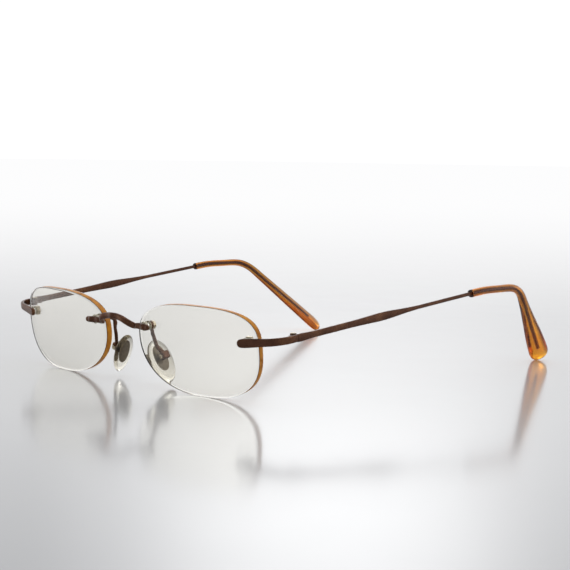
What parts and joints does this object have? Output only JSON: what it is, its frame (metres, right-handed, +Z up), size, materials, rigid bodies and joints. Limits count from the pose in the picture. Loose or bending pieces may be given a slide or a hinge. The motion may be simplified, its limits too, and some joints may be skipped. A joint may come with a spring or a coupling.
{
  "type": "rimless eyeglasses",
  "caption": "Rimless eyeglasses: drilled oval lenses, slim brown bridge, endpieces, folding temples with amber tips and clear rocking nose pads.",
  "frame": {"origin": "middle of the footprint of the open glasses, on the surface they stand on", "axes": "+Z up, front of the glasses faces -Y, temples run to +Y, +X is the wearer's left"},
  "size_m": [0.133, 0.1482, 0.0294],
  "materials": {
    "lens": "clear, slightly warm grey tint, polished edge",
    "tip_plastic": "translucent amber, glossy",
    "clear_pad": "clear, slightly yellowed, soft gloss",
    "washer_plastic": "clear nylon",
    "bright_metal": "worn bright plating",
    "insert_metal": "dull nickel",
    "brown_metal": "satin dark chocolate brown lacquer"
  },
  "bodies": {
    "front": {"bridge": "brown_metal", "endpiece_hinge_left": "brown_metal", "endpiece_hinge_right": "brown_metal", "endpiece_left": "brown_metal", "endpiece_right": "brown_metal", "hinge_screw_left": "bright_metal", "hinge_screw_right": "bright_metal", "lens_left": "lens", "lens_right": "lens", "nose_bushing_left": "washer_plastic", "nose_bushing_right": "washer_plastic", "nose_front_washer_left": "washer_plastic", "nose_front_washer_right": "washer_plastic", "nose_nut_left": "bright_metal", "nose_nut_right": "bright_metal", "nose_rear_washer_left": "washer_plastic", "nose_rear_washer_right": "washer_plastic", "nose_stud_left": "bright_metal", "nose_stud_right": "bright_metal", "outer_bushing_left": "washer_plastic", "outer_bushing_right": "washer_plastic", "outer_front_washer_left": "washer_plastic", "outer_front_washer_right": "washer_plastic", "outer_nut_left": "bright_metal", "outer_nut_right": "bright_metal", "outer_rear_washer_left": "washer_plastic", "outer_rear_washer_right": "washer_plastic", "outer_stud_left": "bright_metal", "outer_stud_right": "bright_metal", "pad_arm_left": "brown_metal", "pad_arm_right": "brown_metal", "pad_box_left": "brown_metal", "pad_box_right": "brown_metal", "pad_screw_left": "bright_metal", "pad_screw_right": "bright_metal"},
    "temple_left": {"temple_hinge_left": "brown_metal", "temple_left": "brown_metal", "temple_tip_left": "tip_plastic"},
    "pad_left": {"nose_pad_left": "clear_pad", "pad_insert_left": "insert_metal"},
    "temple_right": {"temple_hinge_right": "brown_metal", "temple_right": "brown_metal", "temple_tip_right": "tip_plastic"},
    "pad_right": {"nose_pad_right": "clear_pad", "pad_insert_right": "insert_metal"}
  },
  "joints": [
    {"name": "temple_left_fold", "type": "hinge", "parent": "front", "child": "temple_left", "pos_m": [0.06111, -0.05793, 0.01933], "axis": [0, 0, 1], "range_deg": [0, 84]},
    {"name": "temple_right_fold", "type": "hinge", "parent": "front", "child": "temple_right", "pos_m": [-0.06111, -0.05793, 0.01933], "axis": [0, 0, -1], "range_deg": [0, 79]},
    {"name": "pad_left_rock", "type": "hinge", "parent": "front", "child": "pad_left", "pos_m": [0.01208, -0.0621, 0.00955], "axis": [0.1003, 0.9695, 0.2234], "range_deg": [-8, 8]},
    {"name": "pad_right_rock", "type": "hinge", "parent": "front", "child": "pad_right", "pos_m": [-0.01208, -0.0621, 0.00955], "axis": [0.1003, -0.9695, -0.2234], "range_deg": [-8, 8]}
  ]
}
